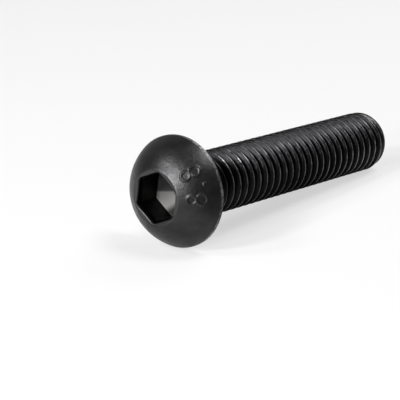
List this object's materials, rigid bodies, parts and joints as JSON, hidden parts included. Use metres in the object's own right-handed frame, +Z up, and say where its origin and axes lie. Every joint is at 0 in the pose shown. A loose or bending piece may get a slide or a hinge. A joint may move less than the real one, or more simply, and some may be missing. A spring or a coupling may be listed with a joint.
{
  "type": "button head machine screw",
  "caption": "Fully threaded machine screw with a low domed head and a hexagon socket, in black oxide steel, lying on its side.",
  "frame": {"origin": "on the floor under the middle of the screw as it lies, touching with the rim of its head and a crest near its end", "axes": "+X along the screw on the floor, from its head to its end, +Z up; the screw's own axis falls 4.293 degrees towards +X"},
  "size_m": [0.0336, 0.0102, 0.0102],
  "materials": {
    "black_oxide_steel": "black oxide, satin on the head and oily gloss on the thread"
  },
  "bodies": {
    "root": {"screw": "black_oxide_steel"}
  },
  "joints": []
}
